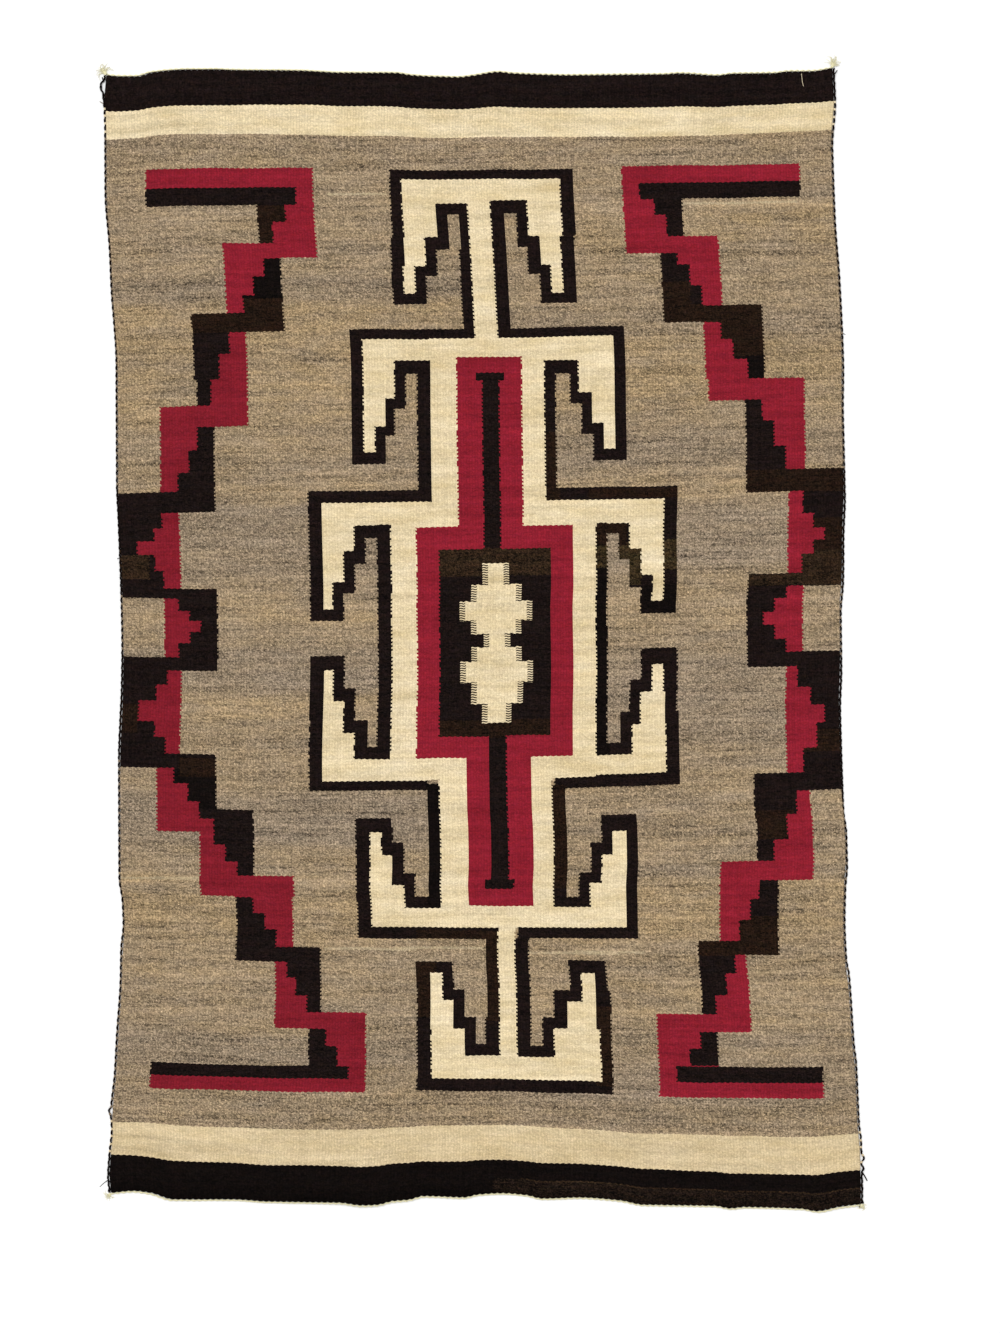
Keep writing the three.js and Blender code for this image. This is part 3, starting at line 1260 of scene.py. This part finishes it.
def weave_cloth():
    cloth = bmesh.new()
    uv_layer = cloth.loops.layers.uv.new("weave")
    layers = [cloth.faces.layers.float.new(name) for name in ("yarn_odd", "yarn_even", "in_turn")]

    # Where a half warp keeps its yarn from one row line to the next, the line is left out.
    last = len(ROW_LINES) - 1
    cuts = []
    for half in range(HALVES):
        kept = [
            i for i in range(1, last)
            if cells[i][half] != cells[i - 1][half] or ROW_LINES[i] in panel_lines
        ]
        cuts.append([0] + kept + [last])
    empty = [0, last]
    corner_rows = [
        sorted(set(cuts[edge - 1] if edge else empty) | set(cuts[edge] if edge < HALVES else empty))
        for edge in range(HALVES + 1)
    ]

    # Each corner is an edge of a half warp and a row number, and has a point over and a point under.
    corners = {}
    for edge, rows in enumerate(corner_rows):
        valley = RIB_DEPTH if edge % 2 == 0 else 0.0
        for i in rows:
            row = ROW_LINES[i]
            point = weave_at(edge / 2, row)
            point.y += end_scallop(edge, row) + zigzag(edge, row) + flare_at(edge / 2, row)
            corners[edge, i] = (
                cloth.verts.new(to_world(point, CLOTH_THICKNESS - valley)),
                cloth.verts.new(to_world(point, valley)),
            )

    def add_face(points, places, yarns):
        """One face through points, with the corner that each has as its place in the weave."""
        face = cloth.faces.new(points)
        for loop, (edge, i) in zip(face.loops, places):
            loop[uv_layer].uv = (edge / HALVES, ROW_LINES[i] / WOVEN_LENGTH)
        for layer, value in zip(layers, yarns):
            face[layer] = value
        face.smooth = True

    for half in range(HALVES):
        for low, high in zip(cuts[half], cuts[half][1:]):
            up_right = [(half + 1, i) for i in corner_rows[half + 1] if low <= i <= high]
            down_left = [(half, i) for i in reversed(corner_rows[half]) if low <= i <= high]
            places = up_right + down_left
            add_face([corners[place][0] for place in places], places, cells[low][half])
            places.reverse()
            add_face([corners[place][1] for place in places], places, cells[low][half])

    def rim(first, second):
        """The cloth's own edge between two neighbouring corners."""
        places = (first, second, second, first)
        points = [corners[place][side] for place, side in zip(places, (1, 1, 0, 0))]
        half = min(first[0], second[0], HALVES - 1)
        band = min(first[1], second[1], last - 1)
        add_face(points, places, cells[band][half])

    for half in range(HALVES):
        rim((half, 0), (half + 1, 0))
        rim((half + 1, last), (half, last))
    for low, high in zip(corner_rows[0], corner_rows[0][1:]):
        rim((0, high), (0, low))
    for low, high in zip(corner_rows[HALVES], corner_rows[HALVES][1:]):
        rim((HALVES, low), (HALVES, high))
    return add_mesh("tapestry_cloth", cloth, woven_wool())


tapestry = weave_cloth()
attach(tapestry, "root")
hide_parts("tapestry")


# Cords: black two-ply side cords and pale two-ply end cords, twined along the edges of the cloth.
# The black cord dips under a turn of the edge weft every 9 mm or so, and shows as a row of slanting dashes.
SIDE_TWIST = 19.0
END_TWIST = 4 * WARP_PITCH
CORD_STEP = 1.6
PLY_THICKNESS = 0.62
PLY_REACH = 0.5
DASH_BULGE = 0.45
END_BULGE = 0.4
END_SWAY = 0.3
KNOT_MARGIN = 1.5
WRAP_RADIUS = 0.75
WRAP_JITTER = 0.08
WRAP_SPACING = 1.9
WRAP_SLANT = 0.6
WRAP_HEIGHT = 1.15
THREAD_STEPS = 8
FIBRE_TURNS = 2.4
FIBRES_ROUND = 3
HEATHER_SCALE = 900.0
CORD_LOOPS = read_table("""
    side  row  reach length
    left  1419 3.2   16
    left  104  2.6   12
    right 58   3.0   12
    right 44   2.6   8
    """)
LOOSE_THREADS = read_table("""
    side  row  yarn dx    dy    radius
    left  16   dark -11   -9    0.45
    right 40   dark  7    -11.5 1.0
    left  1396 grey -6    3     0.5
    right 1098 dark  4.5  -1.5  0.45
    left  814  dark -4    -1.5  0.45
    left  1424 dark -2    6     0.9
    left  6    dark -1.5  -5    0.9
    right 6    dark  2.5  -6    0.8
    right 2    dark -3    -7    0.8
    right 1424 dark  4.5  6     0.8
    right 1428 dark  1.5  5     0.7
    """)


def new_skein():
    """An empty mesh for yarn, with the yarn's number on its faces and its own length in its UV map."""
    skein = bmesh.new()
    skein.loops.layers.uv.new("twist")
    skein.faces.layers.float.new("yarn")
    return skein


def lay_yarn(skein, path, radii, yarn, sides=6):
    """A closed tube through world points in millimetres, with a radius for each."""
    twist = skein.loops.layers.uv.active
    colour = skein.faces.layers.float["yarn"]
    ahead = [
        (path[min(i + 1, len(path) - 1)] - path[max(i - 1, 0)]).normalized() for i in range(len(path))
    ]
    upward = Vector((0, 0, 1)) if abs(ahead[0].z) < 0.9 else Vector((0, 1, 0))
    across = ahead[0].cross(upward).normalized()
    rings = []
    travelled = [0.0]
    for i, (point, radius) in enumerate(zip(path, radii)):
        if i:
            across = ahead[i - 1].rotation_difference(ahead[i]) @ across
            travelled.append(travelled[-1] + (point - path[i - 1]).length)
        over = ahead[i].cross(across).normalized()
        ring = []
        for k in range(sides):
            angle = 2 * math.pi * k / sides
            out = across * math.cos(angle) + over * math.sin(angle)
            ring.append(skein.verts.new((point + radius * out) * MM))
        rings.append(ring)
    for i, (low, high) in enumerate(zip(rings, rings[1:])):
        for k in range(sides):
            face = skein.faces.new([low[k], low[(k + 1) % sides], high[(k + 1) % sides], high[k]])
            places = ((k, i), (k + 1, i), (k + 1, i + 1), (k, i + 1))
            for loop, (turn, step) in zip(face.loops, places):
                loop[twist].uv = (turn / sides, travelled[step] / 10)
            face[colour] = YARNS.index(yarn)
            face.smooth = True
    for ring in (rings[0][::-1], rings[-1]):
        cap = skein.faces.new(ring)
        cap[colour] = YARNS.index(yarn)


def finish_skein(skein, name, node):
    bmesh.ops.recalc_face_normals(skein, faces=skein.faces)
    piece = add_mesh(name, skein, spun_wool())
    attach(piece, "root")
    if node:
        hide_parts(node)
    return piece


@functools.lru_cache(maxsize=None)
def spun_wool():
    """Plied yarn: a colour for each yarn number, with fibres winding round it."""
    material, tree = new_material("spun_wool")
    round_share, along = uv_axes(tree, "twist")
    fibre = maths("SINE", (round_share + along * FIBRE_TURNS) * (2 * math.pi * FIBRES_ROUND))
    place = wire(tree, "ShaderNodeTexCoord", output="Object")
    scaled = wire(tree, "ShaderNodeVectorMath", {0: place, "Scale": HEATHER_SCALE}, operation="SCALE")
    heather = cloudy(scaled, 3.0)
    # The tone follows the fibre ridges that also make the bumps, so the grooves between the fibres are
    # painted darker as shade.
    tone = fibre * 0.10 + 0.95 + heather * 0.2
    colour = pick_from(attribute(tree, "yarn"), shades())
    toned = mix_colours(1.0, colour, vector(tone, tone, tone), "MULTIPLY")
    finish_wool(toned, fibre + heather, 0.15 * MM)
    return material


def world_mm(point, height):
    return to_world(point, height) / MM


def twist_plies(skein, centre_at, outward, length, twist, radius, bulge_at, yarn):
    """Two plies wound round each other along a path, standing out a little wherever one is outermost."""
    steps = round(length / CORD_STEP)
    thickness = PLY_THICKNESS * radius
    reach = PLY_REACH * radius
    for ply in range(2):
        path = []
        for i in range(steps + 1):
            share = i / steps
            phase = 2 * math.pi * share * length / twist + math.pi * ply
            centre = centre_at(share) + outward * (bulge_at(share) + reach * math.cos(phase))
            path.append(world_mm(centre, thickness + reach * (1 + math.sin(phase))))
        lay_yarn(skein, path, [thickness] * len(path), yarn)


def loose_thread(skein, thread):
    """An end of yarn that leaves the side cord, bends and comes down on the floor."""
    root = side_at(thread["side"], thread["row"] / WOVEN_LENGTH, SIDE_CORD_RADIUS)
    tip = root + Vector((thread["dx"], thread["dy"]))
    bend = root + Vector((0.45 * thread["dx"], 0.3 * thread["dy"]))
    path = []
    for i in range(THREAD_STEPS + 1):
        t = i / THREAD_STEPS
        point = root * (1 - t) ** 2 + bend * 2 * t * (1 - t) + tip * t**2
        path.append(world_mm(point, max(thread["radius"], SIDE_CORD_RADIUS * (1 - 1.5 * t))))
    radii = [thread["radius"] * (1 - 0.35 * i / THREAD_STEPS) for i in range(THREAD_STEPS + 1)]
    lay_yarn(skein, path, radii, thread["yarn"])


def side_cord(side):
    skein = new_skein()
    outward = Vector((-1 if side == "left" else 1, 0))
    length = (CORNERS[f"high_{side}"] - CORNERS[f"low_{side}"]).length
    turns = round(2 * length / SIDE_TWIST)

    def bulge_at(share):
        dash = DASH_BULGE * math.cos(2 * math.pi * share * turns)
        for loop in CORD_LOOPS:
            off = 2 * (share * WOVEN_LENGTH - loop["row"]) / loop["length"]
            if loop["side"] == side and abs(off) < 1:
                dash += loop["reach"] * math.cos(off * math.pi / 2)
        return dash

    def centre_at(share):
        return side_at(side, share, SIDE_CORD_RADIUS)

    twist_plies(skein, centre_at, outward, length, 2 * length / turns, SIDE_CORD_RADIUS, bulge_at, "dark")

    # A turn of the edge weft crosses over the cord between one dash and the next.
    edge_warp = 0.5 if side == "left" else WARPS - 0.5
    for turn in range(turns):
        share = (turn + 0.5 + chance.uniform(-WRAP_JITTER, WRAP_JITTER)) / turns
        yarn = yarn_at(edge_warp, share * WOVEN_LENGTH)
        for strand in (-0.5, 0.5):
            along = share + strand * WRAP_SPACING * WRAP_RADIUS / length
            centre = centre_at(along) + outward * bulge_at(along)
            path = []
            for degrees in range(-80, 171, 25):
                angle = math.radians(degrees)
                out = centre + outward * math.cos(angle) + Vector((0, WRAP_SLANT * math.sin(angle)))
                height = max(SIDE_CORD_RADIUS + WRAP_HEIGHT * math.sin(angle), WRAP_RADIUS)
                path.append(world_mm(out, height))
            lay_yarn(skein, path, [WRAP_RADIUS] * len(path), yarn)

    for thread in LOOSE_THREADS:
        if thread["side"] == side:
            loose_thread(skein, thread)
    return finish_skein(skein, f"side_cord_{side}_plied", f"side_cord_{side}")


def end_cord(end):
    skein = new_skein()
    outward = Vector((0, -1 if end == "low" else 1))
    name = "top" if end == "high" else "bottom"
    span = (CORNERS[f"{end}_right"] - CORNERS[f"{end}_left"]).length
    clear = {side: KNOT_MARGIN + tassel_of(name, side)["knot"] + CORD_GAP for side in ("left", "right")}
    start, stop = clear["left"] / span, 1 - clear["right"] / span
    length = span * (stop - start)
    turns = round(2 * length / END_TWIST)

    def centre_at(share):
        return end_at(end, lerp(start, stop, share), -(END_CORD_RADIUS + CORD_GAP))

    def bulge_at(share):
        """The cord is pushed out by each turn of a warp, and comes in between two of them."""
        warp = WARPS * lerp(start, stop, share)
        sway = END_SWAY * noise.noise(Vector((40 * share, 5, 0)))
        return sway - END_BULGE * math.cos(2 * math.pi * warp / WARP_TURN)

    twist_plies(skein, centre_at, outward, length, 2 * length / turns, END_CORD_RADIUS, bulge_at, "cord")
    return finish_skein(skein, f"end_cord_{name}_plied", f"end_cord_{name}")


# Corner tufts: the end cords and the side cords are knotted where they meet, and their ends have frayed.
# Each knot has a radius, and each tuft a heading and a spread in degrees and a number of strands.
TASSELS = read_table("""
    end    side  dx    dy    knot towards spread shortest longest strands
    top    left  1.5   2.75  2.4  124     62     7        13.5    26
    top    right -2.6  2.75  2.2  68      64     7        15      26
    bottom left  1.5  -2.15  1.8  236     60     4        9       18
    bottom right -1.5 -2.25  1.9  300     90     3        7       18
    """)
HAIR_ROOT = 0.34
HAIR_TIP = 0.14
KNOT_STEPS = 48
HAIR_STEPS = 7


def tassel_of(end, side):
    return next(row for row in TASSELS if row["end"] == end and row["side"] == side)


def tuft(row):
    """A knot of cord, as a yarn wound three times through itself, its ends fanned out on the floor."""
    skein = new_skein()
    corner = CORNERS[("high_" if row["end"] == "top" else "low_") + row["side"]]
    middle = corner + Vector((row["dx"], row["dy"]))
    knot = row["knot"]
    path = []
    for i in range(KNOT_STEPS + 1):
        angle = 2 * math.pi * i / KNOT_STEPS
        reach = knot * (0.5 + 0.2 * math.cos(3 * angle))
        point = middle + Vector((reach * math.cos(2 * angle), reach * math.sin(2 * angle)))
        path.append(world_mm(point, knot * (0.55 + 0.2 * math.sin(3 * angle))))
    lay_yarn(skein, path, [0.33 * knot] * len(path), "cord")
    for i in range(int(row["strands"])):
        share = (i + chance.random()) / row["strands"] - 0.5
        heading = math.radians(row["towards"] + share * row["spread"] * 2)
        reach = lerp(row["shortest"], row["longest"], chance.random()) * (1 - 0.8 * share**2)
        curl = chance.uniform(-1.2, 1.2)
        lift = chance.uniform(0.3, 1.0)
        path = []
        for step in range(HAIR_STEPS + 1):
            t = step / HAIR_STEPS
            turned = heading + curl * t * t
            point = middle + (0.5 * knot + reach * t) * Vector((math.cos(turned), math.sin(turned)))
            path.append(world_mm(point, HAIR_ROOT + lift * knot * (1 - t) ** 1.5 * (0.3 + t)))
        radii = [lerp(HAIR_ROOT, HAIR_TIP, step / HAIR_STEPS) for step in range(HAIR_STEPS + 1)]
        lay_yarn(skein, path, radii, "cord", sides=4)
    node = f"tassel_{row['end']}_{row['side']}"
    return finish_skein(skein, f"{node}_frayed", node)


chance = random.Random(7)
trims = [side_cord("left"), side_cord("right"), end_cord("low"), end_cord("high")]
trims += [tuft(row) for row in TASSELS]


# Stray thread: one pale end of weft that lies loose on the dark band near the upper right corner.
# It is on top of the cloth, so it replaces no node of the CAD file.
STRAY_THREAD = [Vector((404, 716)), Vector((404.6, 711)), Vector((405.3, 705)), Vector((406.7, 700))]


def stray_thread():
    skein = new_skein()
    path = []
    for a, b in zip(STRAY_THREAD, STRAY_THREAD[1:]):
        path += [world_mm(a.lerp(b, t / 3), CLOTH_THICKNESS + 0.35) for t in range(3)]
    path.append(world_mm(STRAY_THREAD[-1], CLOTH_THICKNESS + 0.1))
    lay_yarn(skein, path, [0.33] * len(path), "cream")
    return finish_skein(skein, "stray_thread", None)


trims.append(stray_thread())


# Stage: a white floor, an even white sky and a broad soft sun from beyond the top end of the cloth.
# The floor is plain, as in the photograph.
FLOOR_SIZE = 8.0
SKY_STRENGTH = 0.62
SUN_STRENGTH = 2.2
SUN_SPREAD = 50
SUN_HEADING = Vector((0.25, -0.55, -1))


def lay_floor():
    ground = bmesh.new()
    bmesh.ops.create_grid(ground, x_segments=1, y_segments=1, size=FLOOR_SIZE / 2)
    material, tree = new_material("white_floor")
    paint = wire(tree, "ShaderNodeBsdfPrincipled", {"Base Color": (0.9, 0.9, 0.9, 1), "Roughness": 0.9})
    add_node(tree, "ShaderNodeOutputMaterial", {"Surface": paint})
    floor = add_mesh("floor", ground, material)


def light_up():
    world = bpy.data.worlds.new("sky")
    world.use_nodes = True
    sky = world.node_tree.nodes["Background"]
    sky.inputs["Color"].default_value = (1, 1, 1, 1)
    sky.inputs["Strength"].default_value = SKY_STRENGTH
    bpy.context.scene.world = world
    lamp = bpy.data.lights.new("sun", "SUN")
    lamp.angle = math.radians(SUN_SPREAD)
    lamp.energy = SUN_STRENGTH
    sun = add_object("sun", lamp)
    sun.rotation_euler = SUN_HEADING.to_track_quat("-Z", "Y").to_euler()


lay_floor()
light_up()
bpy.context.scene.view_settings.view_transform = "Standard"
